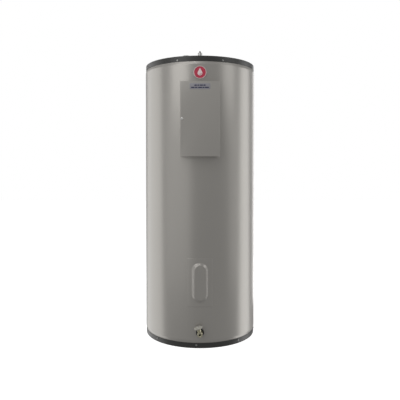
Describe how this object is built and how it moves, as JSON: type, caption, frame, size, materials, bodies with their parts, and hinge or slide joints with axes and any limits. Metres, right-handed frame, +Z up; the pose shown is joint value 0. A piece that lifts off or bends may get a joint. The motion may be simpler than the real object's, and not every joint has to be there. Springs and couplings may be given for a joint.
{
  "type": "tank water heater",
  "caption": "Floor-standing electric tank water heater: tall grey cylinder with dark end pans, front wiring box, access cover, drain and relief valves.",
  "frame": {"origin": "middle of the base pan's underside, on the floor", "axes": "+Z up along the tank, -Y out of the front, where the wiring box, access cover and drain valve are; +X to the right seen from the front"},
  "size_m": [0.6176, 0.6624, 1.601],
  "materials": {
    "jacket_paint": "semi-gloss warm grey baked enamel",
    "pan_paint": "satin dark grey enamel",
    "zinc_fastener": "bright zinc",
    "box_steel": "semi-gloss warm grey baked enamel",
    "galvanised": "galvanised sheet",
    "label_film": "satin film",
    "badge_silver": "polished rim",
    "badge_red": "glossy red dome",
    "tank_steel": "dark mill-scale steel with a glass lining inside",
    "weld_steel": "machined steel",
    "urethane_foam": "rigid pale yellow foam",
    "white_foam": "expanded polystyrene",
    "pipe_steel": "zinc plated pipe",
    "natural_plastic": "natural polymer",
    "cold_blue": "blue moulded ring",
    "hot_red": "red moulded ring",
    "magnesium": "dull cast rod",
    "valve_brass": "satin brass",
    "valve_steel": "plated steel",
    "spring_steel": "spring wire",
    "element_sheath": "nickel alloy sheath",
    "gasket_rubber": "soft rubber",
    "black_phenolic": "moulded phenolic",
    "dial_white": "moulded dial",
    "reset_red": "red button",
    "ground_green": "green dyed zinc",
    "wire_black": "wire insulation",
    "wire_red": "wire insulation",
    "drain_brass": "satin cast brass",
    "knob_paint": "pale sand enamel",
    "black_plastic": "moulded trim"
  },
  "bodies": {
    "root": {"outer_jacket": "jacket_paint", "base_pan": "pan_paint", "top_cover": "pan_paint", "pan_screws": "zinc_fastener", "control_box": "box_steel", "control_box_screws": "zinc_fastener", "door_hinge_pins": "zinc_fastener", "badge_bezel": "badge_silver", "badge_disc": "badge_red", "tank_shell": "tank_steel", "tank_top_head": "tank_steel", "tank_bottom_head": "tank_steel", "tank_skirt": "tank_steel", "tank_spuds": "weld_steel", "foam_insulation": "urethane_foam", "foam_dams": "white_foam", "cold_inlet_nipple": "pipe_steel", "hot_outlet_nipple": "pipe_steel", "heat_trap_inserts": "natural_plastic", "dip_tube": "natural_plastic", "cold_inlet_ring": "cold_blue", "hot_outlet_ring": "hot_red", "anode_head": "pipe_steel", "anode_rod": "magnesium", "relief_valve_body": "valve_brass", "relief_valve_bonnet": "valve_steel", "relief_valve_spring": "spring_steel", "relief_probe": "natural_plastic", "conduit_hub": "galvanised", "wiring_conduits": "galvanised", "heating_elements": "element_sheath", "element_gaskets": "gasket_rubber", "element_insulators": "black_phenolic", "upper_thermostat": "black_phenolic", "lower_thermostat": "black_phenolic", "thermostat_brackets": "spring_steel", "terminal_bracket": "galvanised", "terminal_block": "black_phenolic", "terminal_screws": "zinc_fastener", "ground_screw": "ground_green", "black_wires": "wire_black", "red_wires": "wire_red", "drain_valve_body": "drain_brass", "drain_bonnet": "drain_brass", "drain_trim_ring": "black_plastic"},
    "door": {"control_door": "jacket_paint", "door_label": "label_film"},
    "door_screw": {"door_screw": "zinc_fastener", "door_screw_retainer": "natural_plastic"},
    "relief_stem": {"relief_valve_stem": "valve_brass", "relief_lever_pin": "valve_steel"},
    "relief_lever": {"relief_valve_lever": "valve_steel"},
    "drain_stem": {"drain_stem": "drain_brass", "drain_washer": "gasket_rubber"},
    "drain_knob": {"drain_knob": "knob_paint", "drain_knob_screw": "zinc_fastener"},
    "upper_dial": {"upper_dial": "dial_white"},
    "lower_dial": {"lower_dial": "dial_white"},
    "reset_button": {"reset_button": "reset_red"},
    "lower_cover": {"lower_access_cover": "jacket_paint"}
  },
  "joints": [
    {"name": "door_hinge", "type": "hinge", "parent": "root", "child": "door", "pos_m": [0.0955, -0.329, 1.1795], "axis": [0, 0, 1], "range_deg": [0, 105]},
    {"name": "door_screw_turn", "type": "hinge", "parent": "door", "child": "door_screw", "pos_m": [-0.0915, -0.338, 1.181], "axis": [0, -1, 0], "continuous": true},
    {"name": "relief_stem_lift", "type": "slide", "parent": "root", "child": "relief_stem", "axis": [0, 0, 1], "range_m": [0, 0.003], "stiffness_N_per_m": 200, "springref_m": -0.005, "deforming": ["relief_valve_spring"]},
    {"name": "relief_lever_turn", "type": "hinge", "parent": "relief_stem", "child": "relief_lever", "pos_m": [0, 0, 1.597], "axis": [1, 0, 0], "range_deg": [0, 75]},
    {"name": "drain_stem_lift", "type": "slide", "parent": "root", "child": "drain_stem", "axis": [-0.2588, 0, 0.9659], "range_m": [0, 0.006]},
    {"name": "drain_knob_turn", "type": "hinge", "parent": "drain_stem", "child": "drain_knob", "pos_m": [0, -0.332, 0.084], "axis": [-0.2588, 0, 0.9659], "range_deg": [0, 1080]},
    {"name": "upper_dial_turn", "type": "hinge", "parent": "root", "child": "upper_dial", "pos_m": [-0.01, -0.2823, 1.133], "axis": [0, -1, 0], "range_deg": [-135, 135]},
    {"name": "lower_dial_turn", "type": "hinge", "parent": "root", "child": "lower_dial", "pos_m": [0, -0.2823, 0.352], "axis": [0, -1, 0], "range_deg": [-135, 135]},
    {"name": "reset_press", "type": "slide", "parent": "root", "child": "reset_button", "axis": [0, 1, 0], "range_m": [0, 0.0015], "stiffness_N_per_m": 400},
    {"name": "lower_cover_pull", "type": "slide", "parent": "root", "child": "lower_cover", "axis": [0, -1, 0], "range_m": [0, 0.06]}
  ],
  "couplings": [
    {"joint": "relief_lever_turn", "follows": "relief_stem_lift", "rad_per_m": 436},
    {"joint": "drain_stem_lift", "follows": "drain_knob_turn", "m_per_rad": 0.00031778}
  ]
}
